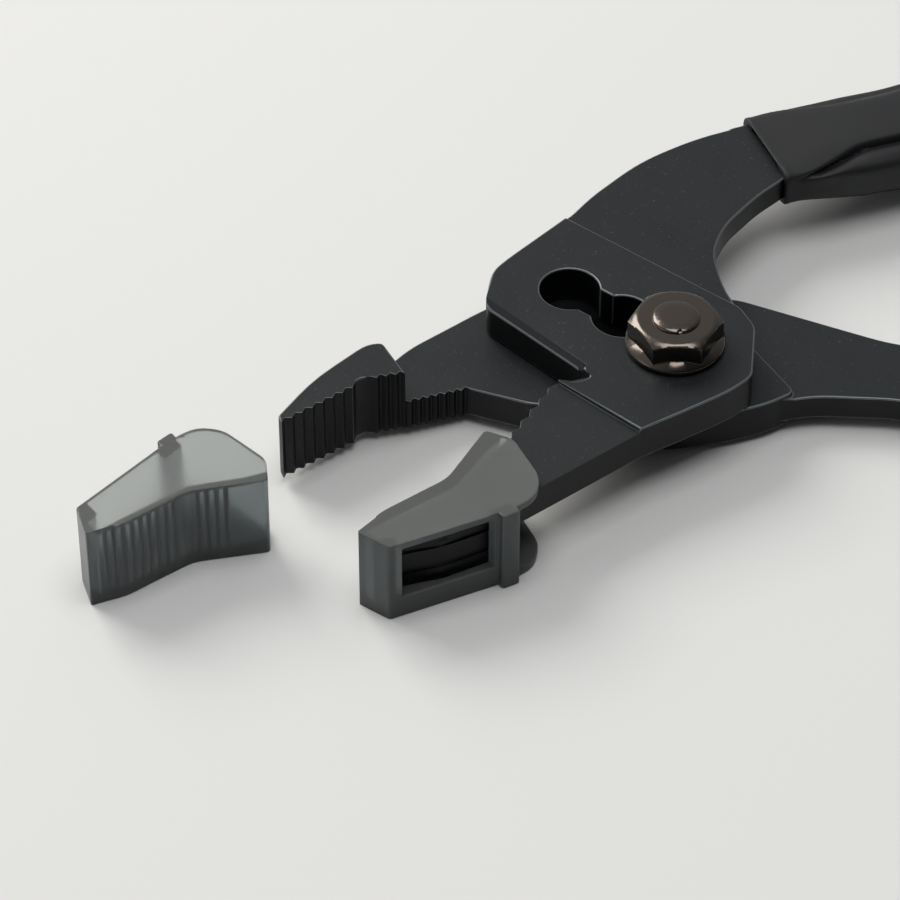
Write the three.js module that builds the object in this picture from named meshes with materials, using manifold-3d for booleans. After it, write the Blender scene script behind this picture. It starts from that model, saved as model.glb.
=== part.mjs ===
// Slip-joint soft-jaw pliers with removable plastic jaw covers.
// Millimetres, +Z up. The tool lies flat: the origin is on the pivot axis, at the underside of
// the bolt's head. +X runs towards the handles, -X towards the jaws, +Y towards the bare jaw.
import * as THREE from "three";
import { mergeVertices } from "three/addons/utils/BufferGeometryUtils.js";
import Module from "manifold-3d";

const wasm = await Module();
wasm.setup();

// ---------------------------------------------------------------- driving dimensions

// Heights: two plates lap at the mid-plane, with a running gap between them.
const LOWER_PLATE = [1.25, 7.6];
const UPPER_PLATE = [7.9, 14.25];
const HANDLE_SETBACK = 1; // a handle bar is this much thinner than its plate, on both faces
const NECK_SETBACK = 0.8; // a jaw's neck lies this far below its plate's outer face
const JAW_BLOCK = [1.75, 13.75];
const COVER = [0, 15.5];
const FIT = 0.3; // clearance between pieces that fit together

// The pivot and the three-position slot.
const SLOT_PITCH = 10.3;
const SLOT_LOBES = 3;
const SLOT_HEADING = new THREE.Vector2(-0.272, 0.962);
const LOBE_RADIUS = 4.8;
const SLOT_NECK = 5.9;
const BOLT_RADIUS = 4.65;
const BOLT_FLATS = 5.4;
const BOLT_HEAD_RADIUS = 7;
const FRONT_CHAMFER = 1;
const THREAD_RADIUS = 3.8;
const WASHER = { inner: 5, outer: 7.2, z: [14.35, 14.5] };
const NUT = { z: [14.6, 19.6], flange: 7.9, flangeEdge: 0.7, acrossFlats: 13, topRadius: 6.15, turn: 24 };
const BOLT_END = 20.3;

// Each jaw is drawn once as (along, out): along from the tip to the root, and out from the
// gripping face to the back. The two jaws face each other, so one of them is turned over.
const BARE_JAW = { tip: [-59.6, 21.7], side: 1 };
const COVERED_JAW = { tip: [-62.6, -6.3], side: -1 };
const COVER_REST_SHIFT = [-36, -3.7]; // the loose cover lies this far from its place on the jaw

const TOOTH = { coarse: 1.9, fine: 1.45, throat: 2.9 };
const TOOTH_DEPTH = 0.7;

// The grips follow the handles. Each lip hugs its own bar, and then both grips swell to the
// same height, so that the tool lies level on them.
const UPPER_GRIP = {
  lipHeight: 11.02,
  line: [[41.5, 28.9], [54, 25.7], [66, 22.4], [85, 20.8], [105, 23.4], [125, 27.4], [140, 30]],
};
const LOWER_GRIP = {
  lipHeight: 4.48,
  line: [[38, -30.4], [48, -38.5], [60, -45], [77, -52], [96, -60], [116, -69], [130, -75.8]],
};
const GRIP_HEIGHT = 7.4;
const GRIP_LEVELLING = [0, 0.5, 1, 1, 1, 1, 1];
const GRIP_HALF_WIDTH = [8.6, 9.1, 9, 8.3, 8.2, 8.8, 7.2];
const COLLAR_HALF_WIDTH = 7.4; // the full-width bar goes this wide into the grip's mouth
const COLLAR_SHARE = 0.03;
const GRIP_HALF_HEIGHT = [3.5, 5.6, 7.1, 7.1, 6.8, 7, 5.6];
const TANG_HALF_WIDTH = 5.2;
const TANG_SHARE = 0.85; // how much of the grip's length its tang fills

const ROUND = 48; // sides of a full circle

// ---------------------------------------------------------------- helpers

// A closed geometry as a solid that can be cut and joined.
function solid(geometry) {
  const bare = geometry.clone();
  bare.deleteAttribute("normal");
  bare.deleteAttribute("uv");
  const merged = mergeVertices(bare, 1e-4);
  return new wasm.Manifold(new wasm.Mesh({
    numProp: 3,
    vertProperties: new Float32Array(merged.attributes.position.array),
    triVerts: new Uint32Array(merged.index.array),
  }));
}

function named(name, body, colour, roughness, metalness) {
  const cut = body.getMesh();
  const geometry = new THREE.BufferGeometry();
  geometry.setAttribute("position", new THREE.BufferAttribute(cut.vertProperties, 3));
  geometry.setIndex(new THREE.BufferAttribute(cut.triVerts, 1));
  geometry.computeVertexNormals();
  const mesh = new THREE.Mesh(geometry, new THREE.MeshStandardMaterial({ color: colour, roughness, metalness }));
  mesh.name = name;
  return mesh;
}

// An outline of corners [x, y, cut]: a corner with a cut is rounded, starting that far from it,
// or just short of half way along an edge that is too short for two such corners.
function outline(corners) {
  const shape = new THREE.Shape();
  corners.forEach(([x, y, cut = 0], i) => {
    const at = new THREE.Vector2(x, y);
    const towards = (j) => {
      const [nx, ny] = corners[(j + corners.length) % corners.length];
      const step = new THREE.Vector2(nx, ny).sub(at);
      const reach = Math.min(cut, 0.45 * step.length());
      return at.clone().addScaledVector(step.normalize(), reach);
    };
    const from = towards(i - 1);
    if (i === 0) shape.moveTo(from.x, from.y);
    else shape.lineTo(from.x, from.y);
    if (cut) {
      const to = towards(i + 1);
      shape.quadraticCurveTo(x, y, to.x, to.y);
    }
  });
  shape.closePath();
  return shape;
}

// A plate of a given outline between two heights.
function plate(corners, [bottom, top], curveSegments = 6) {
  const shape = Array.isArray(corners) ? outline(corners) : corners;
  const geometry = new THREE.ExtrudeGeometry(shape, { depth: top - bottom, bevelEnabled: false, curveSegments });
  return solid(geometry.translate(0, 0, bottom));
}

// A round solid from its (radius, height) profile, which starts and ends on the axis.
function turned(profile) {
  const points = profile.map(([r, z]) => new THREE.Vector2(r, z));
  return solid(new THREE.LatheGeometry(points, ROUND).rotateX(Math.PI / 2));
}

const cylinder = (radius, [bottom, top]) =>
  turned([[0, bottom], [radius, bottom], [radius, top], [0, top]]);

// The tooth crests and valleys along a straight stretch, cut to the left of its heading.
function teeth([x0, y0], [x1, y1], pitch) {
  const run = new THREE.Vector2(x1 - x0, y1 - y0);
  const count = Math.round(run.length() / pitch);
  const left = new THREE.Vector2(-run.y, run.x).normalize().multiplyScalar(TOOTH_DEPTH);
  const points = [];
  for (let i = 0; i < count; i += 1) {
    const crest = [x0 + (run.x * i) / count, y0 + (run.y * i) / count];
    const middle = (i + 0.5) / count;
    points.push([...crest, pitch * 0.06]);
    points.push([x0 + run.x * middle + left.x, y0 + run.y * middle + left.y, pitch * 0.16]);
  }
  points.push([x1, y1]);
  return points;
}

// Places a jaw's (along, out) points in the tool's plan.
const onJaw = ({ tip, side }, points) =>
  points.map(([along, out, cut = 0]) => [tip[0] + along, tip[1] + side * out, cut]);

// ---------------------------------------------------------------- jaws and covers

// The full-height block at the end of a jaw: teeth, a hollow for round work, more teeth.
function jawBlock(jaw) {
  return plate(onJaw(jaw, [
    ...teeth([0, 0], [13.3, 0], TOOTH.coarse),
    [14.4, 1.1, 1.2],
    [16.8, 0.9, 1.2],
    ...teeth([17.6, -0.3], [21.8, -2.1], TOOTH.fine),
    [23, 5.8, 0.8],
    [20.6, 7, 2],
    [9.3, 5.2, 4],
    [0.3, 1.6, 0.5],
  ]), JAW_BLOCK, 3);
}

const COVER_OUTSIDE = [
  [-2.2, -0.4, 0.3], [3.2, -1.9, 1.2], [15.4, -1.9, 1.6], [26.2, -7, 0.8], [28.6, -2.9, 1.2],
  [26.9, 6.2, 1.6], [24, 9.1, 2], [19.7, 9.3, 2], [-0.4, 5.1, 0.4],
];

// Widens all the way to its mouth, so that the cover pulls straight off over the jaw.
const COVER_CAVITY = [
  [-0.4, -0.4], [16, -0.4], [21.8, -2.9], [24.2, -3.8], [34, -6.5], [34, 8.9],
  [20.2, 7.5], [9.2, 5.7], [-0.4, 2.1],
];
const COVER_WINDOW = { along: [1.8, 16.6], z: [4, 14.05] };
const COVER_STRAP = { along: [17.2, 20.2], proud: 1.2 };
const COVER_BACK = { from: [-0.4, 5.1], to: [19.7, 9.3] };

function jawCover(jaw, [shiftX, shiftY]) {
  const placed = { tip: [jaw.tip[0] + shiftX, jaw.tip[1] + shiftY], side: jaw.side };
  const back = (along) => COVER_BACK.from[1] + (along - COVER_BACK.from[0])
    * (COVER_BACK.to[1] - COVER_BACK.from[1]) / (COVER_BACK.to[0] - COVER_BACK.from[0]);
  const inside = [JAW_BLOCK[0] - FIT, JAW_BLOCK[1] + FIT];
  const [w0, w1] = COVER_WINDOW.along;
  const [s0, s1] = COVER_STRAP.along;
  const window = onJaw(placed, [[w0, back(w0) - 3], [w1, back(w1) - 3], [w1, 14], [w0, 14]]);
  const openBack = onJaw(placed, [[s1, 4], [34, 4], [34, 14], [s1, 14]]);
  const strap = onJaw(placed, [
    [s0, 7.6], [s1, 7.8], [s1, back(s1) + COVER_STRAP.proud - 0.2, 0.5], [s0, back(s0) + COVER_STRAP.proud, 0.5],
  ]);
  return plate(onJaw(placed, COVER_OUTSIDE), COVER)
    .add(plate(strap, COVER))
    .subtract(plate(onJaw(placed, COVER_CAVITY), inside))
    .subtract(plate(window, COVER_WINDOW.z))
    .subtract(plate(openBack, inside));
}

// ---------------------------------------------------------------- grips

function gripCurve({ line }) {
  return new THREE.CatmullRomCurve3(line.map(([x, y]) => new THREE.Vector3(x, y, 0)));
}

const along = (values, t) => {
  const place = t * (values.length - 1);
  const i = Math.min(Math.floor(place), values.length - 2);
  return THREE.MathUtils.lerp(values[i], values[i + 1], THREE.MathUtils.smoothstep(place - i, 0, 1));
};

// The strip of a given half width along a grip's centre line, up to a share of its length.
function tangStrip(grip, halfWidth, share, lead) {
  const curve = gripCurve(grip);
  const left = [];
  const right = [];
  const steps = 12;
  for (let i = 0; i <= steps; i += 1) {
    const t = (share * i) / steps;
    const at = curve.getPointAt(t);
    const heading = curve.getTangentAt(t);
    if (i === 0) at.addScaledVector(heading, -lead);
    left.push([at.x - heading.y * halfWidth, at.y + heading.x * halfWidth]);
    right.unshift([at.x + heading.y * halfWidth, at.y - heading.x * halfWidth]);
  }
  return [...left, ...right];
}

// A rounded sleeve: rings of a squared oval along the centre line, closed at both ends.
function gripSleeve(grip) {
  const curve = gripCurve(grip);
  const rings = 26;
  const sides = 20;
  const squareness = 0.62;
  const points = [];
  const faces = [];
  for (let i = 0; i <= rings; i += 1) {
    const t = i / rings;
    const end = Math.sqrt(Math.max(0, 1 - Math.max(0, (t - 0.93) / 0.074) ** 2));
    const at = curve.getPointAt(t);
    const heading = curve.getTangentAt(t);
    const middle = THREE.MathUtils.lerp(grip.lipHeight, GRIP_HEIGHT, along(GRIP_LEVELLING, t));
    for (let k = 0; k < sides; k += 1) {
      const a = (2 * Math.PI * k) / sides;
      const across = Math.sign(Math.cos(a)) * Math.abs(Math.cos(a)) ** squareness;
      const up = Math.sign(Math.sin(a)) * Math.abs(Math.sin(a)) ** squareness;
      const w = across * along(GRIP_HALF_WIDTH, t) * end;
      points.push(at.x + heading.y * w, at.y - heading.x * w, middle + up * along(GRIP_HALF_HEIGHT, t) * end);
    }
  }
  for (let i = 0; i < rings; i += 1) {
    for (let k = 0; k < sides; k += 1) {
      const a = i * sides + k;
      const b = i * sides + ((k + 1) % sides);
      faces.push(a, b + sides, b, a, a + sides, b + sides);
    }
  }
  const last = rings * sides;
  for (let k = 1; k < sides - 1; k += 1) {
    faces.push(0, k, k + 1);
    faces.push(last, last + k + 1, last + k);
  }
  const geometry = new THREE.BufferGeometry();
  geometry.setAttribute("position", new THREE.Float32BufferAttribute(points, 3));
  geometry.setIndex(faces);
  return solid(geometry);
}

function grip(shape, [bottom, top]) {
  const depth = [bottom - FIT, top + FIT];
  const mouth = tangStrip(shape, COLLAR_HALF_WIDTH + FIT, COLLAR_SHARE + 0.005, 4);
  const pocket = tangStrip(shape, TANG_HALF_WIDTH + FIT, TANG_SHARE + 0.01, 4);
  return gripSleeve(shape).subtract(plate(mouth, depth)).subtract(plate(pocket, depth));
}

// ---------------------------------------------------------------- levers

const UPPER_BAR = [UPPER_PLATE[0] + HANDLE_SETBACK - 0.1, UPPER_PLATE[1] - HANDLE_SETBACK];
const LOWER_BAR = [LOWER_PLATE[0] + HANDLE_SETBACK, LOWER_PLATE[1] - HANDLE_SETBACK + 0.1];

function slot() {
  const reach = SLOT_PITCH * (SLOT_LOBES - 1);
  const side = new THREE.Vector2(-SLOT_HEADING.y, SLOT_HEADING.x).multiplyScalar(SLOT_NECK / 2);
  const depth = [UPPER_PLATE[0] - 1, UPPER_PLATE[1] + 1];
  const end = SLOT_HEADING.clone().multiplyScalar(reach);
  let cut = plate([[side.x, side.y], [end.x + side.x, end.y + side.y],
    [end.x - side.x, end.y - side.y], [-side.x, -side.y]], depth);
  for (let i = 0; i < SLOT_LOBES; i += 1) {
    const at = SLOT_HEADING.clone().multiplyScalar(SLOT_PITCH * i);
    cut = cut.add(cylinder(LOBE_RADIUS, depth).translate([at.x, at.y, 0]));
  }
  return cut;
}

// The wide chamfer along the top of the head's front edge, above the throat.
function frontChamfer() {
  const [from, to] = [[-18.4, 25.1], [-15.1, 4.6]];
  const run = new THREE.Vector2(to[0] - from[0], to[1] - from[1]);
  const size = FRONT_CHAMFER * Math.SQRT2;
  return solid(new THREE.BoxGeometry(size, run.length() * 1.06, size)
    .rotateY(Math.PI / 4).rotateZ(Math.atan2(run.y, run.x) + Math.PI / 2)
    .translate((from[0] + to[0]) / 2, (from[1] + to[1]) / 2, UPPER_PLATE[1]));
}

function upperLever() {
  const head = [
    [-18.4, 25.1, 1.5], [-15.1, 4.6, 0.8], [-15, 1.6, 1.2], [-17.6, 1.9, 1.2], [-19.9, 4.2, 0.3],
    [-16.3, -12.2], [-9.4, -12.9, 2], [0, -13.6, 3], [5.1, -13, 1.4], [12.7, -4.3, 1.2], [13.6, 0.6, 1],
    [4.3, 34], [-9.3, 31.5, 2], [-13.1, 30.5, 2.4],
  ];
  const neck = [
    [-46, -6.5], [-40.8, -4.2], [-36, -2.6], ...teeth([-33, -1.5], [-20.1, 4.1], TOOTH.throat),
    [-14, 2], [-14, -12.3], [-16.3, -12.2], [-42.5, -12.9],
  ];
  const bar = [
    [0, 30], [2.6, 33.6], [11.5, 36.6, 3], [23.2, 38.9, 5], [34, 38.2, 5], [42.4, 36.1], [40.6, 21.75],
    [33.4, 20.8, 3], [24.6, 18.2, 3], [19, 14.3, 3], [15.4, 7.4, 3], [13, -0.5], [8, 4],
  ];
  return plate(head, UPPER_PLATE)
    .add(plate(neck, [UPPER_PLATE[0], UPPER_PLATE[1] - NECK_SETBACK]))
    .add(plate(bar, UPPER_BAR))
    .add(plate(tangStrip(UPPER_GRIP, COLLAR_HALF_WIDTH, COLLAR_SHARE, 3), UPPER_BAR))
    .add(plate(tangStrip(UPPER_GRIP, TANG_HALF_WIDTH, TANG_SHARE, 6), UPPER_BAR))
    .add(jawBlock(COVERED_JAW))
    .subtract(slot())
    .subtract(frontChamfer());
}

function lowerLever() {
  const head = [
    [-20, 6.2, 1], [-13.6, 0.8, 3], [-12, -4, 3], [-6.6, -8.6, 3], [1, -12, 3], [8, -14, 2],
    [13, -14.4, 1.4], [14, -3, 2], [16, 9, 4], [11, 18, 4], [1, 26, 4], [-9, 29.6, 3], [-20, 29.7],
  ];
  const neck = [
    [-41, 23.6], [-38, 20.4], ...teeth([-37.1, 19.2], [-27.8, 16.1], TOOTH.fine),
    [-22.2, 7.7, 1.5], [-17, 3.6], [-10, 10], [-10, 29.6], [-16.3, 29.8, 2], [-30.6, 29.3, 3], [-37, 27.4], [-43, 25.6],
  ];
  const bar = [
    [2, -10], [9, -13.6, 2], [15.3, -16.2, 3], [25.6, -24.6, 3], [33.4, -35.4], [42.6, -24.1], [33.1, -14, 4],
    [19.3, 9.6, 3], [14, 12.4], [4, 8],
  ];
  return plate(head, LOWER_PLATE)
    .add(plate(neck, [LOWER_PLATE[0] + NECK_SETBACK - 0.2, LOWER_PLATE[1]]))
    .add(plate(bar, LOWER_BAR))
    .add(plate(tangStrip(LOWER_GRIP, COLLAR_HALF_WIDTH, COLLAR_SHARE, 3), LOWER_BAR))
    .add(plate(tangStrip(LOWER_GRIP, TANG_HALF_WIDTH, TANG_SHARE, 6), LOWER_BAR))
    .add(jawBlock(BARE_JAW))
    .subtract(cylinder(BOLT_RADIUS + FIT, [0, LOWER_PLATE[1] + 1]));
}

// ---------------------------------------------------------------- pivot

function pivotBolt() {
  const headTop = LOWER_PLATE[0] - 0.15;
  const shoulder = LOWER_PLATE[1];
  const threadFrom = WASHER.z[1];
  const flatsHeading = Math.atan2(SLOT_HEADING.y, SLOT_HEADING.x);
  const flats = solid(new THREE.BoxGeometry(3 * BOLT_RADIUS, BOLT_FLATS, threadFrom - shoulder + 1)
    .rotateZ(flatsHeading).translate(0, 0, (shoulder + threadFrom + 1) / 2));
  const shank = cylinder(BOLT_RADIUS, [shoulder, threadFrom]).intersect(flats);
  const dome = turned([[0, shoulder + 0.5], [THREAD_RADIUS * 0.7, shoulder + 0.5],
    [THREAD_RADIUS * 0.7, threadFrom], [THREAD_RADIUS, threadFrom + 0.01], [THREAD_RADIUS, BOLT_END - 0.5],
    [THREAD_RADIUS * 0.86, BOLT_END - 0.15], [THREAD_RADIUS * 0.5, BOLT_END], [0, BOLT_END]]);
  return turned([[0, 0], [BOLT_HEAD_RADIUS - 0.5, 0], [BOLT_HEAD_RADIUS, 0.5], [BOLT_HEAD_RADIUS, headTop],
    [BOLT_RADIUS, headTop], [BOLT_RADIUS, shoulder + 0.15], [0, shoulder + 0.15]])
    .add(shank)
    .add(dome);
}

function flangeNut() {
  const [bottom, top] = NUT.z;
  const corner = NUT.acrossFlats / 2 / Math.cos(Math.PI / 6);
  const hex = solid(new THREE.CylinderGeometry(corner, corner, top - bottom, 6)
    .rotateX(Math.PI / 2).rotateZ(THREE.MathUtils.degToRad(NUT.turn)).translate(0, 0, (top + bottom) / 2));
  const chamfer = turned([[0, bottom], [corner + 1, bottom], [corner + 1, top - 1.5], [NUT.topRadius, top], [0, top]]);
  const flange = turned([[0, bottom], [NUT.flange, bottom], [NUT.flange, bottom + NUT.flangeEdge],
    [corner - 0.6, bottom + 1.5], [0, bottom + 1.5]]);
  return hex.intersect(chamfer).add(flange).subtract(cylinder(THREAD_RADIUS + 0.15, [bottom - 1, top + 1]));
}

function thrustWasher() {
  return cylinder(WASHER.outer, WASHER.z)
    .subtract(cylinder(WASHER.inner, [WASHER.z[0] - 1, WASHER.z[1] + 1]));
}

// ---------------------------------------------------------------- the assembly

const BLACK_STEEL = ["#2a2c2e", 0.45, 0.6];
const BLACK_NICKEL = ["#6e665f", 0.2, 1];
const ELASTOMER = ["#2b2c2e", 0.8, 0];
const SMOKE_PLASTIC = ["#6a7074", 0.5, 0];

const pliers = new THREE.Group();
pliers.add(
  named("upper_lever", upperLever(), ...BLACK_STEEL),
  named("lower_lever", lowerLever(), ...BLACK_STEEL),
  named("pivot_bolt", pivotBolt(), ...BLACK_NICKEL),
  named("flange_nut", flangeNut(), ...BLACK_NICKEL),
  named("thrust_washer", thrustWasher(), ...BLACK_NICKEL),
  named("upper_grip", grip(UPPER_GRIP, UPPER_BAR), ...ELASTOMER),
  named("lower_grip", grip(LOWER_GRIP, LOWER_BAR), ...ELASTOMER),
  named("fitted_jaw_cover", jawCover(COVERED_JAW, [0, 0]), ...SMOKE_PLASTIC),
  named("loose_jaw_cover", jawCover(BARE_JAW, COVER_REST_SHIFT), ...SMOKE_PLASTIC),
);

export default pliers;
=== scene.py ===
# %% [markdown]
# # Soft-jaw pliers, one piece at a time
# The pliers lie open on a pale table, with one plastic jaw cover fitted and the other beside its jaw.
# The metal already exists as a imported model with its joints. This file dresses it: every piece is
# given its true edges and its finish, and each new piece is tied to the body that it moves with.

import math

import bpy
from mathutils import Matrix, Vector
from mathutils.geometry import intersect_line_line_2d


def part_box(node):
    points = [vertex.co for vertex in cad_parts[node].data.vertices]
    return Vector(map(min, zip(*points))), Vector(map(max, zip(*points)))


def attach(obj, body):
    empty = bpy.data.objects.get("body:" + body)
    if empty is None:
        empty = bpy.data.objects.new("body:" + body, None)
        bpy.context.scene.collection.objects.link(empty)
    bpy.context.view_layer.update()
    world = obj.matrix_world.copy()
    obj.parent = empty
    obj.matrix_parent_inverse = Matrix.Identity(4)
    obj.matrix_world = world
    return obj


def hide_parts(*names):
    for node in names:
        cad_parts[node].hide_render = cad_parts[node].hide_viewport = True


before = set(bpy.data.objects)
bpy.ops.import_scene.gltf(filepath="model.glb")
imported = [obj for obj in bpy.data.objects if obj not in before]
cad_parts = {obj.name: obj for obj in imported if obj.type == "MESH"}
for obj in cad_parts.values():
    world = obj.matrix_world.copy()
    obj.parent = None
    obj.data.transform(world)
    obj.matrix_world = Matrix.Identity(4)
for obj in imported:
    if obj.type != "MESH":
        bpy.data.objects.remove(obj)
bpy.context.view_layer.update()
MM = 0.001  # Blender works in metres, and the pliers are drawn in millimetres

# %% [markdown]
# ## Four small helpers
# Colours are written as the hex values that a screen shows, and a shader wants linear light, so one
# function turns one into the other. One adds any shader node with its settings and links. One leaves
# a single object selected, because an operator acts on all that is selected. The last one adds a
# modifier and applies it at once, as the button in the modifier's menu does.

# %% Helpers
def linear(hex_value):
    """An sRGB hex colour as linear RGBA."""
    channels = [int(hex_value[i:i + 2], 16) / 255 for i in (1, 3, 5)]
    return [c / 12.92 if c <= 0.04045 else ((c + 0.055) / 1.055) ** 2.4 for c in channels] + [1]


def add_node(tree, kind, settings=None, inputs=None):
    """A shader node. An input is a value, or a node's output that is linked to it."""
    node = tree.nodes.new(kind)
    for name, value in (settings or {}).items():
        setattr(node, name, value)
    for name, value in (inputs or {}).items():
        if isinstance(value, bpy.types.NodeSocket):
            tree.links.new(value, node.inputs[name])
        else:
            node.inputs[name].default_value = value
    return node


def only(obj):
    """Selects obj and nothing else, and makes it the active object."""
    bpy.ops.object.select_all(action="DESELECT")
    obj.select_set(True)
    bpy.context.view_layer.objects.active = obj
    return obj


def apply_modifier(obj, kind, **settings):
    """Adds a modifier with its settings and applies it."""
    only(obj)
    modifier = obj.modifiers.new(kind.lower(), kind)
    for name, value in settings.items():
        setattr(modifier, name, value)
    bpy.ops.object.modifier_apply(modifier=modifier.name)


# %% [markdown]
# ## The camera
# A long lens from about 0.65 m keeps the jaws and the nut nearly in true proportion, as in a
# catalogue shot. A wide lens close up would swell whatever is nearest. The camera looks down at 44
# degrees, from the side of the jaws.

# %% Camera
VIEW_AZIMUTH, VIEW_ELEVATION, VIEW_DISTANCE = math.radians(-36), math.radians(44), 0.655
LENS = 172  # mm
aim = Vector((-42.6, 1.2, 14.25)) * MM
towards_camera = Vector((math.sin(VIEW_AZIMUTH) * math.cos(VIEW_ELEVATION),
                         -math.cos(VIEW_AZIMUTH) * math.cos(VIEW_ELEVATION),
                         math.sin(VIEW_ELEVATION)))
bpy.ops.object.camera_add(location=aim + towards_camera * VIEW_DISTANCE)
camera = bpy.context.object
camera.rotation_euler = (-towards_camera).to_track_quat("-Z", "Y").to_euler()
camera.data.lens = LENS
camera.data.clip_start, camera.data.clip_end = 0.05, 20
bpy.context.scene.camera = camera
print("camera at", [round(c, 3) for c in camera.location])

# %% [markdown]
# ## Table and light
# The table is a wide sheet of pale matt paper. A big soft window stands behind it, so the shadows
# fall softly towards the viewer. The room on the viewer's side is darker, and polished metal needs
# that dark side to show its form, so the room's own light fades from back to front.

# %% Table
bpy.ops.mesh.primitive_plane_add(size=12, location=(0, 0, 0))
table_top = bpy.context.object
table_top.name = "table_top"
paper = bpy.data.materials.new("pale_matt_paper")
paper.use_nodes = True
paper.node_tree.nodes.clear()
paper_shader = add_node(paper.node_tree, "ShaderNodeBsdfPrincipled", inputs={
    "Base Color": linear("#e0e0df"), "Roughness": 0.8, "Specular IOR Level": 0.15})
add_node(paper.node_tree, "ShaderNodeOutputMaterial", inputs={"Surface": paper_shader.outputs["BSDF"]})
table_top.data.materials.append(paper)


# %% Lights
def soft_light(name, location, size, power, colour):
    """A square area light that faces the pivot."""
    bpy.ops.object.light_add(type="AREA", location=location)
    light = bpy.context.object
    light.name = name
    light.rotation_euler = (-Vector(location)).to_track_quat("-Z", "Y").to_euler()
    light.data.size = size
    light.data.energy = power
    light.data.color = linear(colour)[:3]
    print(name, power, "W")


soft_light("window", (-0.15, 0.95, 0.8), 0.7, 10, "#fffdf8")
soft_light("left_card", (-1.1, 0.3, 0.5), 0.5, 0.5, "#ffffff")
soft_light("overhead", (0.0, -0.1, 1.3), 0.8, 7.3, "#ffffff")

world = bpy.data.worlds.new("pale_room")
bpy.context.scene.world = world
world.use_nodes = True
room = world.node_tree
room.nodes.clear()
facing = add_node(room, "ShaderNodeSeparateXYZ",
                  inputs={"Vector": add_node(room, "ShaderNodeTexCoord").outputs["Generated"]})
fade = add_node(room, "ShaderNodeMapRange", inputs={
    "Value": facing.outputs["Y"], "From Min": -0.7, "From Max": 0.7, "To Min": 0.045, "To Max": 0.55})
background = add_node(room, "ShaderNodeBackground",
                      inputs={"Color": linear("#f3f4f4"), "Strength": fade.outputs["Result"]})
add_node(room, "ShaderNodeOutputWorld", inputs={"Surface": background.outputs["Background"]})
bpy.context.scene.view_settings.view_transform = "Standard"


# %% [markdown]
# ## Finishes
# Each finish starts from what the real material is. A flat pattern wrapped round each piece would
# stretch and show seams, so every pattern here is worked out from the place in space instead.
# Object coordinates are in metres here, so a pattern's scale is one over its real size: a grain of
# 0.25 mm is a noise of scale 4000. Grains finer than the view can show are drawn a little coarser.

# %% Finish helper
def finish_of(name, colour, roughness, metallic=0.0, grain_mm=0.25, bump=0.15, mottle=0.06, **extra):
    """A Principled finish with a fine grain in its height and a slow drift in its roughness."""
    material = bpy.data.materials.new(name)
    material.use_nodes = True
    tree = material.node_tree
    tree.nodes.clear()
    place = add_node(tree, "ShaderNodeTexCoord").outputs["Object"]
    grain = add_node(tree, "ShaderNodeTexNoise", inputs={
        "Vector": place, "Scale": 1 / (grain_mm * MM), "Detail": 3.0, "Roughness": 0.55})
    # Handling leaves dull and bright areas about 11 mm across, which is a noise of scale 90.
    drift = add_node(tree, "ShaderNodeTexNoise", inputs={"Vector": place, "Scale": 90.0, "Detail": 4.0})
    spread = add_node(tree, "ShaderNodeMapRange", inputs={
        "Value": drift.outputs["Fac"], "From Min": 0.3, "From Max": 0.7,
        "To Min": max(roughness - mottle, 0.02), "To Max": roughness + mottle})
    height = add_node(tree, "ShaderNodeBump", inputs={
        "Height": grain.outputs["Fac"], "Strength": bump, "Distance": 0.05 * MM})
    shader = add_node(tree, "ShaderNodeBsdfPrincipled", inputs={
        "Base Color": linear(colour), "Metallic": metallic,
        "Roughness": spread.outputs["Result"], "Normal": height.outputs["Normal"]})
    for socket, value in extra.items():
        shader.inputs[socket.replace("_", " ")].default_value = value
    add_node(tree, "ShaderNodeOutputMaterial", inputs={"Surface": shader.outputs["BSDF"]})
    print("finish:", name, colour)
    return material


def node_of(material, kind):
    """The first node of a kind in a material."""
    return next(node for node in material.node_tree.nodes if node.type == kind)


# Where a Mix node that blends colours keeps its factor, its two colours and its result.
FACTOR, COLOUR_A, COLOUR_B, BLENDED = 0, 6, 7, 2

# %% [markdown]
# ## Black oxide steel, its rubbed edges, and painted shade on its sides
# The levers are forged steel, shot-blasted and then blackened: nearly black, with the soft sheen of
# fine grit. A fully metallic shader would mirror the room, but the oxide is a dark layer that
# scatters light, so it is made as a non-metal of low gloss. Pale specks lie on it, where grit has
# caught. They are a sparse fine noise that is cut off high, and they are drawn coarser than real
# grit, which would be too fine to show. The blackening is thin, and handling rubs it off the
# arrises, so these get a metallic finish of their own, where bare grey steel glints through; their pale
# grey is partly a painted highlight. The upright sides get a near-black, less glossy copy of the
# steel: painted shade, which keeps them darker than the level faces under any light.

# %% Black oxide steel, its rubbed edges, and painted shade on its sides
STEEL, SPECK, SPECK_MM = "#13181b", "#54585a", 0.5
black_steel = finish_of("blackened_forged_steel", STEEL, 0.42, grain_mm=0.35, bump=0.3, mottle=0.05,
                        Specular_IOR_Level=0.36)
# The rubbed edges: worn steel, and their pale grey is partly a painted highlight.
rubbed_edge_and_highlight = finish_of("rubbed_steel_edge_and_painted_highlight", "#6a6f72", 0.42, metallic=0.7, bump=0.1)
# The upright sides' near-black, less glossy copy of the steel is painted shade.
painted_shade_side = finish_of("forged_side_painted_shade", "#07090a", 0.4, grain_mm=0.35, bump=0.3, mottle=0.05,
                        Specular_IOR_Level=0.24)

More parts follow.
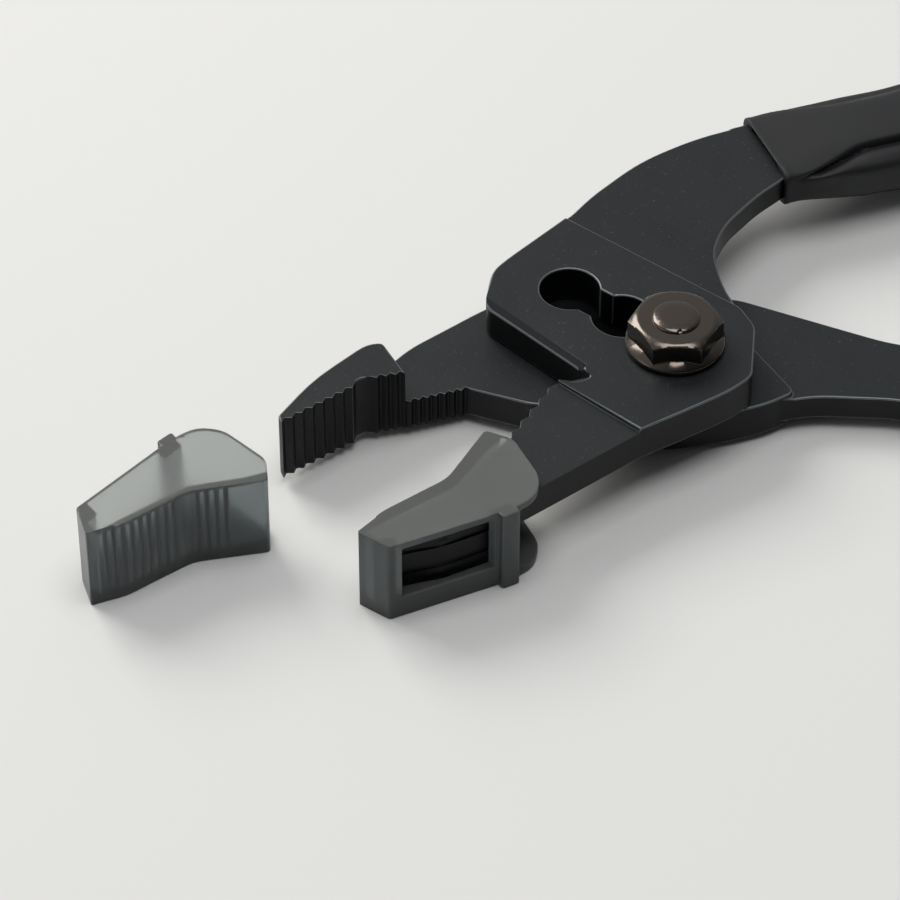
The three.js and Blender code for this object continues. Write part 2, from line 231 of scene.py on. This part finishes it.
steel_tree = black_steel.node_tree
specks = add_node(steel_tree, "ShaderNodeTexNoise", inputs={
    "Vector": node_of(black_steel, "TEX_COORD").outputs["Object"],
    "Scale": 1 / (SPECK_MM * MM), "Detail": 2.0})
speck_mask = add_node(steel_tree, "ShaderNodeMapRange", inputs={
    "Value": specks.outputs["Fac"], "From Min": 0.66, "From Max": 0.78, "To Min": 0.0, "To Max": 0.5})
speckled = add_node(steel_tree, "ShaderNodeMix", settings={"data_type": "RGBA"})
speckled.inputs[COLOUR_A].default_value = linear(STEEL)
speckled.inputs[COLOUR_B].default_value = linear(SPECK)
steel_tree.links.new(speck_mask.outputs["Result"], speckled.inputs[FACTOR])
steel_shader = node_of(black_steel, "BSDF_PRINCIPLED")
steel_tree.links.new(speckled.outputs[BLENDED], steel_shader.inputs["Base Color"])

# %% [markdown]
# ## Painted shade under the slot
# Under the slot the lap face lies in shade, and this shade is painted into a copy of the steel: there
# the steel is near black and gives no sheen. The painted patch is an oval: a Mapping node moves, turns
# and shrinks the space until the oval is a unit circle, and the distance from its middle then says how
# far the painted shade has faded.

# %% Painted shade under the slot
slot_shade_steel = black_steel.copy()
slot_shade_steel.name = "lap_steel_painted_slot_shade"
slot_shade_tree = slot_shade_steel.node_tree
slot_shade_shader = node_of(slot_shade_steel, "BSDF_PRINCIPLED")
steel_colour = slot_shade_shader.inputs["Base Color"].links[0].from_socket
slot_shade_oval = add_node(slot_shade_tree, "ShaderNodeMapping", settings={"vector_type": "TEXTURE"}, inputs={
    "Vector": node_of(slot_shade_steel, "TEX_COORD").outputs["Object"],
    "Location": (-2.8 * MM, 9.9 * MM, 7.6 * MM), "Rotation": (0, 0, math.radians(15.8)),
    "Scale": (9 * MM, 18 * MM, 2 * MM)})
reach = add_node(slot_shade_tree, "ShaderNodeVectorMath", settings={"operation": "LENGTH"},
                 inputs={0: slot_shade_oval.outputs["Vector"]})
unshaded_share = add_node(slot_shade_tree, "ShaderNodeMapRange", inputs={
    "Value": reach.outputs["Value"], "From Min": 0.45, "From Max": 1.0, "To Min": 0.0, "To Max": 1.0})
# The painted shade: near black at the oval's middle, fading to the plain steel at its rim.
shade_painted = add_node(slot_shade_tree, "ShaderNodeMix", settings={"data_type": "RGBA"})
shade_painted.inputs[COLOUR_A].default_value = linear("#030303")
slot_shade_tree.links.new(unshaded_share.outputs["Result"], shade_painted.inputs[FACTOR])
slot_shade_tree.links.new(steel_colour, shade_painted.inputs[COLOUR_B])
slot_shade_tree.links.new(shade_painted.outputs[BLENDED], slot_shade_shader.inputs["Base Color"])
sheen_left = add_node(slot_shade_tree, "ShaderNodeMapRange", inputs={
    "Value": unshaded_share.outputs["Result"], "To Min": 0.04, "To Max": 0.36})
slot_shade_tree.links.new(sheen_left.outputs["Result"], slot_shade_shader.inputs["Specular IOR Level"])

# %% [markdown]
# ## Black nickel
# The nut and the bolt have a dark, warm, smooth plating. Its look is nearly all reflection, so it is
# a full metal with low roughness, and its colour is the tint of what it reflects. A faint, wide
# unevenness keeps the highlights from looking ruled.

# %% Black nickel
black_nickel = finish_of("black_nickel_plate", "#625b55", 0.2, metallic=1.0, grain_mm=0.6,
                         bump=0.03, mottle=0.05)

# %% [markdown]
# ## Thermoplastic rubber
# The sleeves come from a mould with a spark-eroded texture: dull, and slightly grey where they face
# the light. The texture could be real geometry, but it is only a few hundredths of a millimetre
# deep, so a bump from fine noise does the same for the highlights at far less cost.

# %% Thermoplastic rubber
grip_rubber = finish_of("moulded_grip_rubber", "#18191c", 0.58, grain_mm=0.45, bump=0.6, mottle=0.08,
                        Specular_IOR_Level=0.4)

# %% [markdown]
# ## Smoke-grey soft plastic
# The jaw covers are frosted, see-through plastic. Its colour deepens with the thickness that light
# crosses, so part of the grey is an absorbing volume inside the walls, and thick corners come out
# darker than thin ones. Shade is painted on as well: the upright walls get a darker copy of the top's
# finish, and the scallops inside the gripping wall a darker one still.

# %% Smoke-grey soft plastic
# The top's finish, then the walls' and the scallops' darker copies, which are painted shade.
COVER_TONES_AND_PAINTED_SHADES = (("frosted_smoke_top", "#c8ccc9"), ("frosted_smoke_wall_painted_shade", "#929a9d"),
                  ("frosted_smoke_scallop_painted_shade", "#4a5154"))
smoke_plastics = []
for name, colour in COVER_TONES_AND_PAINTED_SHADES:
    smoke = finish_of(name, colour, 0.3, grain_mm=0.4, bump=0.03, mottle=0.02,
                      Transmission_Weight=0.86, IOR=1.45, Specular_IOR_Level=0.4)
    depth_tint = add_node(smoke.node_tree, "ShaderNodeVolumeAbsorption",
                          inputs={"Color": linear("#848e93"), "Density": 165.0})
    smoke.node_tree.links.new(depth_tint.outputs["Volume"],
                              node_of(smoke, "OUTPUT_MATERIAL").inputs["Volume"])
    smoke_plastics.append(smoke)


# %% [markdown]
# ## The two levers
# Drop-forged steel never has a knife edge: each arris is broken by a small radius, and that radius is
# what catches the light. The levers could be drawn again from nothing, but their outlines have to
# match the joints exactly, so each lever's own mesh is copied and cleaned into large flat faces, and
# then its edges are bevelled. The bevel's faces get the rubbed-edge finish in the same step, and its
# pale grey is partly a painted highlight.

# %% Copying a node as clean faces
MERGE_GAP = 0.002 * MM  # corners closer than this are made one


def clean_copy(node, name):
    """A copy of a node's mesh with its doubles merged and its flat triangles joined."""
    only(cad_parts[node])
    bpy.ops.object.duplicate()
    piece = only(bpy.context.selected_objects[0])
    piece.name = name
    piece.data.materials.clear()
    bpy.ops.object.mode_set(mode="EDIT")
    bpy.ops.mesh.select_all(action="SELECT")
    bpy.ops.mesh.remove_doubles(threshold=MERGE_GAP)
    bpy.ops.mesh.dissolve_limited(angle_limit=math.radians(1))
    bpy.ops.object.mode_set(mode="OBJECT")
    return piece


def rest_on(piece, body, slot, *nodes):
    """Ties a finished piece to its body and hides the nodes that it stands for. The slot is not used.
    """
    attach(piece, body)
    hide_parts(*nodes)


# %% [markdown]
# ## Breaking the edges
# A bevel moves each sharp edge's faces back by a set width. Where two edges are closer together than
# that, the new faces fold over each other and render black. The bevel's own clamp would shrink every
# edge of the piece to the tightest spot, so it is off. Instead the folds are found by testing whether
# a face's outline crosses itself, the edges near them are left sharp, and the bevel is made again.

# %% Finding folds
def gap_to(spot, start, end):
    """The distance from a spot to an edge."""
    run = end - start
    if not run.length_squared:  # a cut can leave an edge with no length
        return (start - spot).length
    share = min(max((spot - start).dot(run) / run.length_squared, 0), 1)
    return (start.lerp(end, share) - spot).length


def turn_of(a, b, c):
    """Twice the area of a triangle in the plane, positive when it turns left."""
    return (b.x - a.x) * (c.y - a.y) - (b.y - a.y) * (c.x - a.x)


TOUCHING = 1e-21  # a product of two areas in square metres that is smaller is a rounding error


def truly_cross(a, b, c, d):
    """Whether two segments pass through each other, and don't only touch."""
    return (turn_of(a, b, c) * turn_of(a, b, d) < -TOUCHING
            and turn_of(c, d, a) * turn_of(c, d, b) < -TOUCHING)


def crossings(piece):
    """Where the outline of a face with five sides or more crosses itself, in mm."""
    found = []
    points = piece.data.vertices
    for face in piece.data.polygons:
        if face.loop_total < 5:
            continue
        origin = points[face.vertices[0]].co.copy()
        across = face.normal.orthogonal().normalized()
        up = face.normal.cross(across)
        flat = [Vector(((points[v].co - origin).dot(across), (points[v].co - origin).dot(up)))
                for v in face.vertices]
        count = len(flat)
        for i in range(count - 1):
            for j in range(i + 2, count - (i == 0)):
                ends = (flat[i], flat[i + 1], flat[j], flat[(j + 1) % count])
                hit = intersect_line_line_2d(*ends)
                if hit and truly_cross(*ends):
                    found.append((origin + across * hit.x + up * hit.y) / MM)
    return found


# %% Bevelling
MOST_TRIES = 8
SPARED_RADIUS = 0.6  # mm round a fold, and as much again for each new try


def broken_edges(piece, width_mm, segments=2, material=-1, angle=28, where=None):
    """Bevels the edges sharper than the angle, all of them or those whose middle is in a place.

    Spots where the bevel folds over itself are spared. If every try folds, the piece stays as it was.
    """
    plain, spared = piece.data.copy(), []
    for attempt in range(MOST_TRIES):
        only(piece)
        bpy.ops.object.mode_set(mode="EDIT")
        bpy.ops.mesh.select_mode(type="EDGE")
        bpy.ops.mesh.select_all(action="DESELECT")
        bpy.ops.mesh.edges_select_sharp(sharpness=math.radians(angle))
        bpy.ops.object.mode_set(mode="OBJECT")
        points = piece.data.vertices
        # A selected face would select all its edges again, so only edges keep their mark.
        points.foreach_set("select", [False] * len(points))
        piece.data.polygons.foreach_set("select", [False] * len(piece.data.polygons))
        for edge in piece.data.edges:
            start, end = (points[v].co / MM for v in edge.vertices)
            near = any(gap_to(spot, start, end) < SPARED_RADIUS * attempt for spot in spared)
            edge.select = edge.select and not near and (where is None or where((start + end) / 2))
        bpy.ops.object.mode_set(mode="EDIT")
        bpy.ops.mesh.bevel(offset=width_mm * MM, segments=segments, material=material,
                           clamp_overlap=False)
        bpy.ops.mesh.select_all(action="SELECT")
        bpy.ops.mesh.remove_doubles(threshold=MERGE_GAP)
        bpy.ops.mesh.select_mode(type="VERT")
        bpy.ops.object.mode_set(mode="OBJECT")
        folds = crossings(piece)
        if not folds:
            print(piece.name, "bevelled at", width_mm, "mm in", attempt + 1, "tries, spots spared:",
                  len(spared))
            break
        spared += folds
        piece.data = plain.copy()
    else:
        print(piece.name, "not bevelled at", width_mm, "mm: every try folded over")


def settled_shading(piece, angle=40):
    """Smooth shading that the large flat faces rule, so that no smear crosses them."""
    only(piece)
    bpy.ops.object.shade_smooth_by_angle(angle=math.radians(angle))
    apply_modifier(piece, "WEIGHTED_NORMAL", weight=90, keep_sharp=True)
    print(piece.name, len(piece.data.polygons), "faces")


# %% Levers
ARRIS, TOOTH_ARRIS = 0.28, 0.05  # mm: a forging's broken edge, and the sharper edge of a cut tooth
TEETH_END = -19  # mm along X, where the teeth give way to the head
TEETH_BANDS = ((-7.5, 5), (15, 22.6))  # mm along Y, where each jaw's teeth lie


def toothed(place):
    """Whether a place in mm is among a jaw's teeth."""
    return place.x < TEETH_END and any(low < place.y < high for low, high in TEETH_BANDS)


# Slots: the oxide, the rubbed edges with their partly painted highlight, and the sides' painted shade.
OXIDE, RUBBED_AND_HIGHLIT, PAINTED_SHADE_SIDE = range(3)  # a lever's material slots
forgings = {}
for lever in ("upper_lever", "lower_lever"):
    forged = clean_copy(lever, lever + "_forged")
    # The lower lever's steel carries the painted shade under the slot.
    forged.data.materials.append(black_steel if lever == "upper_lever" else slot_shade_steel)
    forged.data.materials.append(rubbed_edge_and_highlight)
    forged.data.materials.append(painted_shade_side)
    broken_edges(forged, ARRIS, material=RUBBED_AND_HIGHLIT, where=lambda place: not toothed(place))
    broken_edges(forged, TOOTH_ARRIS, segments=1, material=RUBBED_AND_HIGHLIT, angle=40, where=toothed)
    forgings[lever] = forged

# %% [markdown]
# ## Grooves along the jaw's back
# The forging's outer side has shallow lengthwise grooves that the plastic grips, and they show
# through the cover's window. A bump would give them no edge in side light, so they are real cuts: one
# long bar is set along each stretch of the back and taken out. The upright faces get their painted
# shade after that, so that the grooves' walls get it too.

# %% Back grooves
COVERED_TIP = Vector((-62.6, -6.3))
BACK_LINE = [(1.2, 1.96), (9.3, 5.2), (20.6, 7.0)]  # (along, out) from the tip, in mm
GROOVE_HEIGHTS, GROOVE_DEPTH, GROOVE_WIDTH = (6.1, 10.4), 0.35, 1.1


def cut_away(piece, cutter):
    """Takes the cutter's space out of the piece, and then removes the cutter."""
    apply_modifier(piece, "BOOLEAN", operation="DIFFERENCE", object=cutter, solver="EXACT")
    bpy.data.objects.remove(cutter)


for height in GROOVE_HEIGHTS:
    for (a0, o0), (a1, o1) in zip(BACK_LINE, BACK_LINE[1:]):
        start = Vector((COVERED_TIP.x + a0, COVERED_TIP.y - o0))
        end = Vector((COVERED_TIP.x + a1, COVERED_TIP.y - o1))
        run = end - start
        bpy.ops.mesh.primitive_cube_add(
            size=1, location=(*((start + end) / 2 * MM), height * MM),
            rotation=(0, 0, math.atan2(run.y, run.x)),
            scale=(run.length * MM, 2 * GROOVE_DEPTH * MM, GROOVE_WIDTH * MM))
        bar = bpy.context.object
        bpy.ops.object.transform_apply(location=True, rotation=True, scale=True)
        cut_away(forgings["upper_lever"], bar)

# %% Finishing the levers
UPRIGHT = 0.35  # how far up or down an upright face's normal points, at most

for lever, forged in forgings.items():
    settled_shading(forged)
    # Upright faces of the oxide slot are given the painted shade of the sides.
    for face in forged.data.polygons:
        if face.material_index == OXIDE and abs(face.normal.z) < UPRIGHT:
            face.material_index = PAINTED_SHADE_SIDE
    rest_on(forged, lever + "_body", "black_steel", lever)

# %% [markdown]
# ## The pivot
# A flange nut is a hexagon cut by a cone, with a sloping skirt below. A bevel can't give the curved
# edge that the cone leaves on each flat, so both are made as on a lathe: the six-sided bar is crossed
# with a turned blank, and a turned skirt is joined on.

# %% Turning a profile
def turn(name, profile, steps=160):
    """A closed round solid, spun about the pivot axis from (radius, height) points in mm."""
    bpy.ops.mesh.primitive_plane_add(size=MM)
    piece = bpy.context.object
    piece.name = name
    bpy.ops.object.mode_set(mode="EDIT")
    bpy.ops.mesh.select_mode(type="VERT")
    bpy.ops.mesh.select_all(action="SELECT")
    bpy.ops.mesh.delete(type="ONLY_FACE")
    bpy.ops.mesh.select_all(action="SELECT")
    bpy.ops.mesh.merge(type="CENTER")
    bpy.ops.transform.translate(value=(profile[0][0] * MM, 0, profile[0][1] * MM))
    for (r0, z0), (r1, z1) in zip(profile, profile[1:]):
        bpy.ops.mesh.extrude_region_move(
            TRANSFORM_OT_translate={"value": ((r1 - r0) * MM, 0, (z1 - z0) * MM)})
    bpy.ops.mesh.select_all(action="SELECT")
    bpy.ops.mesh.spin(steps=steps, angle=2 * math.pi, center=(0, 0, 0), axis=(0, 0, 1))
    bpy.ops.mesh.select_all(action="SELECT")
    bpy.ops.mesh.remove_doubles(threshold=0.001 * MM)
    bpy.ops.mesh.normals_make_consistent(inside=False)
    bpy.ops.object.mode_set(mode="OBJECT")
    return piece


# %% Flange nut
nut_low, nut_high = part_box("flange_nut")
NUT_BASE, NUT_TOP = nut_low.z / MM, nut_high.z / MM
FLANGE_R = (nut_high.x - nut_low.x) / 2 / MM
ACROSS_FLATS, CHAMFER_R, HEX_TURN = 13, 6.15, 24  # mm, mm, degrees
NUT_ARRIS = 0.14  # mm
corner_r = ACROSS_FLATS / 2 / math.cos(math.pi / 6)

bpy.ops.mesh.primitive_cylinder_add(
    vertices=6, radius=corner_r * MM, depth=(NUT_TOP - NUT_BASE) * MM,
    location=(0, 0, (NUT_TOP + NUT_BASE) / 2 * MM), rotation=(0, 0, math.radians(HEX_TURN - 90)))
nut = bpy.context.object
nut.name = "flange_nut_plated"
bpy.ops.object.transform_apply(location=True, rotation=True, scale=True)
blank = turn("nut_blank", [
    (0, NUT_BASE), (9, NUT_BASE), (9, NUT_TOP - 1.75), (6.9, NUT_TOP - 0.5),
    (CHAMFER_R + 0.1, NUT_TOP - 0.1), (CHAMFER_R - 0.4, NUT_TOP), (0, NUT_TOP)])
apply_modifier(nut, "BOOLEAN", operation="INTERSECT", object=blank, solver="EXACT")
skirt = turn("nut_skirt", [
    (0, NUT_BASE), (FLANGE_R - 0.15, NUT_BASE), (FLANGE_R, NUT_BASE + 0.2),
    (FLANGE_R, NUT_BASE + 0.6), (FLANGE_R - 0.2, NUT_BASE + 0.85),
    (corner_r - 0.9, NUT_BASE + 1.6), (0, NUT_BASE + 1.6)])
apply_modifier(nut, "BOOLEAN", operation="UNION", object=skirt, solver="EXACT")
for spent in (blank, skirt):
    bpy.data.objects.remove(spent)
nut.data.materials.clear()
nut.data.materials.append(black_nickel)
broken_edges(nut, NUT_ARRIS, segments=3, angle=22)
settled_shading(nut, 30)
rest_on(nut, "lower_lever_body", "black_nickel", "flange_nut")

# %% [markdown]
# ## The bolt
# Its end stands a little proud of the nut as a low dome, and the nick at its rim is where the thread
# was staked so that the nut can't wind off. Below, the shank has two flats that pass the slot. The
# packed bolt already has those, so its mesh is copied and bevelled, and only the nick is cut anew. The
# washer under the nut is thin and nearly hidden, and gets the plating alone.

# %% Bolt and washer
BOLT_ARRIS = 0.12  # mm
bolt_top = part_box("pivot_bolt")[1].z / MM
bolt = clean_copy("pivot_bolt", "pivot_bolt_plated")
bolt.data.materials.append(black_nickel)
broken_edges(bolt, BOLT_ARRIS)
STAKE_HEADING = math.radians(-118)
STAKE_RADIUS, STAKE_DROP = 3.75, 0.2  # mm from the axis, and below the dome's top
bpy.ops.mesh.primitive_cube_add(
    size=1, scale=(1.1 * MM, 0.5 * MM, 0.9 * MM), rotation=(0, 0, STAKE_HEADING),
    location=(STAKE_RADIUS * math.cos(STAKE_HEADING) * MM,
              STAKE_RADIUS * math.sin(STAKE_HEADING) * MM, (bolt_top - STAKE_DROP) * MM))
stake = bpy.context.object
bpy.ops.object.transform_apply(location=True, rotation=True, scale=True)
cut_away(bolt, stake)
settled_shading(bolt, 22)
rest_on(bolt, "lower_lever_body", "black_nickel", "pivot_bolt")

washer = clean_copy("thrust_washer", "thrust_washer_plated")
washer.data.materials.append(black_nickel)
rest_on(washer, "washer_body", "black_nickel", "thrust_washer")

# %% [markdown]
# ## The grips
# Each handle has a thick moulded sleeve. It starts in a square lip with a small bead, and its flat top
# panel narrows to a ridge. Below the ridge a groove, a long swell for the fingers, a second groove and
# a ledge follow. A shape that changes all the way along is best made as a flat grid that is rolled up:
# each row of the grid becomes one ring of the sleeve, and each column one line along it.

# %% The sleeve's centre line
GRIP_LINES = {  # mm, the height at which the lip hugs its bar, and which flank faces the other grip
    "upper_grip": (
        [(41.5, 28.9), (54, 25.7), (66, 22.4), (85, 20.8), (105, 23.4), (125, 27.4), (140, 30)],
        11.02, 1),
    "lower_grip": (
        [(38, -30.4), (48, -38.5), (60, -45), (77, -52), (96, -60), (116, -69), (130, -75.8)],
        4.48, -1),
}
OUTER_RELIEF = 0.3  # the flank against the palm is smoother than the one under the fingers
GRIP_HEIGHT = 7.4  # mm, the height that both sleeves level out to
# Evenly spaced values from the lip to the end: half the width and height in mm, and how far the
# sleeve has levelled out.
HALF_WIDTHS = (8.6, 9.1, 9.0, 8.3, 8.2, 8.8, 7.2)
HALF_HEIGHTS = (3.5, 5.6, 7.1, 7.1, 6.8, 7.0, 5.6)
LEVELLING = (0, 0.5, 1, 1, 1, 1, 1)


def smooth_line(points, steps=40):
    """A centripetal Catmull-Rom curve through the points, as closely spaced points."""
    points = [Vector(p) for p in points]
    points = [2 * points[0] - points[1], *points, 2 * points[-1] - points[-2]]
    line = []
    for a, b, c, d in zip(points, points[1:], points[2:], points[3:]):
        t0, t1 = 0.0, (b - a).length ** 0.5
        t2 = t1 + (c - b).length ** 0.5
        t3 = t2 + (d - c).length ** 0.5
        for i in range(steps):
            t = t1 + (t2 - t1) * i / steps
            p = a.lerp(b, (t - t0) / (t1 - t0))
            q = b.lerp(c, (t - t1) / (t2 - t1))
            r = c.lerp(d, (t - t2) / (t3 - t2))
            early = p.lerp(q, (t - t0) / (t2 - t0))
            late = q.lerp(r, (t - t1) / (t3 - t1))
            line.append(early.lerp(late, (t - t1) / (t2 - t1)))
    return line + [points[-2]]


def walk(line, distance):
    """The place and heading at a distance along a line of points."""
    for p, q in zip(line, line[1:]):
        step = (q - p).length
        if distance <= step:
            return p + (q - p) * (distance / step), (q - p).normalized()
        distance -= step
    return line[-1], (line[-1] - line[-2]).normalized()


def ease(value, low=0.0, high=1.0):
    """0 below low, 1 above high, and a smooth step between."""
    share = min(max((value - low) / (high - low), 0), 1)
    return share * share * (3 - 2 * share)


def table_value(values, share):
    """A value between evenly spaced ones, eased from each to the next."""
    place = share * (len(values) - 1)
    i = min(int(place), len(values) - 2)
    return values[i] + (values[i + 1] - values[i]) * ease(place - i)


# %% Rolling a sleeve
SIDES, BODY_RINGS = 88, 92
# The mouth and its bead: (distance in, swell) of each ring, in mm.
MOUTH = [(1.6, -1.0), (0.1, -1.0), (0.0, -0.75), (0.0, -0.22), (0.08, -0.06), (0.22, 0.04),
         (0.7, 0.06), (1.2, 0.0)]
MOUTH_LENGTH = 1.8  # mm, where the rings of the body begin
END_START, END_SHARE = 0.93, 0.07  # of the length: where the round end begins, and its own share


def bell(value, width):
    """1 at nothing, and falling away smoothly over a width to each side."""
    return math.exp(-(value / width) ** 2)


def sleeve_point(line, length, lip_height, inner, distance, swell, angle):
    """The place on a sleeve at a distance from its lip and an angle round it, in mm."""
    share = min(distance / length, 1)
    place, heading = walk(line, distance)
    # The section is a rounded box at the lip, and rounder further back.
    square = 0.34 + 0.26 * ease(share, 0.02, 0.14)
    across = math.copysign(abs(math.cos(angle)) ** square, math.cos(angle))
    up = math.copysign(abs(math.sin(angle)) ** square, math.sin(angle))
    end = math.sqrt(max(0, 1 - max(0, (share - END_START) / END_SHARE) ** 2))
    # The lean is the angle above the sleeve's edge, the same on both flanks.
    lean = math.degrees(math.asin(min(1, max(-1, math.sin(angle)))))
    body = ease(share, 0.012, 0.07) * (1 - ease(share, 0.84, 0.94))
    ridge = 10 + 46 * ease(share, 0.0, 0.17)
    # The groove under the ridge, the lower groove, and the swell for the fingers between them.
    relief = -1.3 * bell(lean - ridge, 8) - 1.1 * bell(lean + 32, 7) + 0.75 * bell(lean - 12, 18)
    swell += body * relief * (1 if math.cos(angle) * inner > 0 else OUTER_RELIEF)
    wide = table_value(HALF_WIDTHS, share) * end + swell
    high = table_value(HALF_HEIGHTS, share) * end + swell * (0.3 if abs(lean) > 70 else 1)
    middle = lip_height + (GRIP_HEIGHT - lip_height) * table_value(LEVELLING, share)
    return (place.x + heading.y * across * wide, place.y - heading.x * across * wide,
            middle + up * high)


# %% Both sleeves
for grip, (points, lip_height, inner) in GRIP_LINES.items():
    line = smooth_line(points)
    length = sum((q - p).length for p, q in zip(line, line[1:]))
    rings = (MOUTH + [(MOUTH_LENGTH + (length - MOUTH_LENGTH) * i / BODY_RINGS, 0)
                      for i in range(BODY_RINGS)] + [(length, 0)])
    bpy.ops.mesh.primitive_grid_add(x_subdivisions=len(rings) - 1, y_subdivisions=SIDES, size=1)
    sleeve = bpy.context.object
    sleeve.name = grip + "_sleeve"
    for vertex in sleeve.data.vertices:
        ring = round((vertex.co.x + 0.5) * (len(rings) - 1))
        side = round((vertex.co.y + 0.5) * SIDES)
        vertex.co = Vector(sleeve_point(line, length, lip_height, inner, *rings[ring],
                                        2 * math.pi * (side % SIDES) / SIDES)) * MM
    only(sleeve)
    bpy.ops.object.mode_set(mode="EDIT")
    bpy.ops.mesh.select_all(action="SELECT")
    bpy.ops.mesh.remove_doubles(threshold=MERGE_GAP)
    bpy.ops.mesh.select_all(action="DESELECT")
    bpy.ops.mesh.select_non_manifold(extend=False)
    bpy.ops.mesh.edge_face_add()
    bpy.ops.mesh.select_all(action="SELECT")
    bpy.ops.mesh.normals_make_consistent(inside=False)
    bpy.ops.object.mode_set(mode="OBJECT")
    sleeve.data.materials.append(grip_rubber)
    bpy.ops.object.shade_smooth_by_angle(angle=math.radians(50))
    rest_on(sleeve, grip.replace("grip", "lever_body"), "elastomer", grip)
    print(sleeve.name, len(sleeve.data.polygons), "faces,", round(length, 1), "mm long")

# %% [markdown]
# ## The jaw covers
# Injection-moulded soft plastic, drawn on like a sock. The inside of the gripping wall is scalloped
# to match the jaw's teeth, and the scallops show through as dark and light bars. Painted stripes
# wouldn't shift as the view moves, so they are real cuts: a round bar stands at each tooth, and all
# the bars are taken out of the wall together. The faces that the bars leave get the darkest smoke
# finish, and the upright walls a darker one than the top: painted shade.

# %% Covers
CAVITY = (1.45, 14.05)  # mm, the floor and roof of the hollow
COVER_EDGE = 0.28  # mm
TOP, PAINTED_SHADE_WALL, PAINTED_SHADE_SCALLOP = range(3)  # a cover's material slots
LEVEL = 0.5  # how far up or down the normal of a level face points, at least
SCALLOP_RADIUS, SCALLOP_GAP = 0.44, 0.06  # mm, and how much shorter a scallop is than the hollow
SCALLOPS = ([(0.9 + 1.5 * i, -0.35) for i in range(9)]  # (along, out) from the jaw's tip
            + [(17.2 + 1.35 * i, -0.85 - 0.58 * i) for i in range(4)])
COVERS = {"fitted_jaw_cover": (COVERED_TIP, -1, "fitted_cover_body"),
          "loose_jaw_cover": (Vector((-95.6, 18.0)), 1, "loose_cover_body")}

for cover, (tip, side, body) in COVERS.items():
    moulded = clean_copy(cover, cover + "_moulded")
    for smoke in smoke_plastics:
        moulded.data.materials.append(smoke)
    broken_edges(moulded, COVER_EDGE, segments=3, angle=35)
    # Upright faces get the walls' painted shade.
    for face in moulded.data.polygons:
        face.material_index = TOP if abs(face.normal.z) > LEVEL else PAINTED_SHADE_WALL
    bars = []
    for along, out in SCALLOPS:
        bpy.ops.mesh.primitive_cylinder_add(
            vertices=14, radius=SCALLOP_RADIUS * MM, depth=(CAVITY[1] - CAVITY[0] - SCALLOP_GAP) * MM,
            location=((tip.x + along) * MM, (tip.y + side * out) * MM, sum(CAVITY) / 2 * MM))
        bars.append(bpy.context.object)
    for bar in bars:
        bar.select_set(True)
    bpy.context.view_layer.objects.active = bars[0]
    bpy.ops.object.join()
    bpy.ops.object.transform_apply(location=True, rotation=True, scale=True)
    # The scallops' faces get the darkest painted shade.
    for face in bars[0].data.polygons:
        face.material_index = PAINTED_SHADE_SCALLOP
    cut_away(moulded, bars[0])
    settled_shading(moulded, 45)
    rest_on(moulded, body, "smoke_plastic", cover)
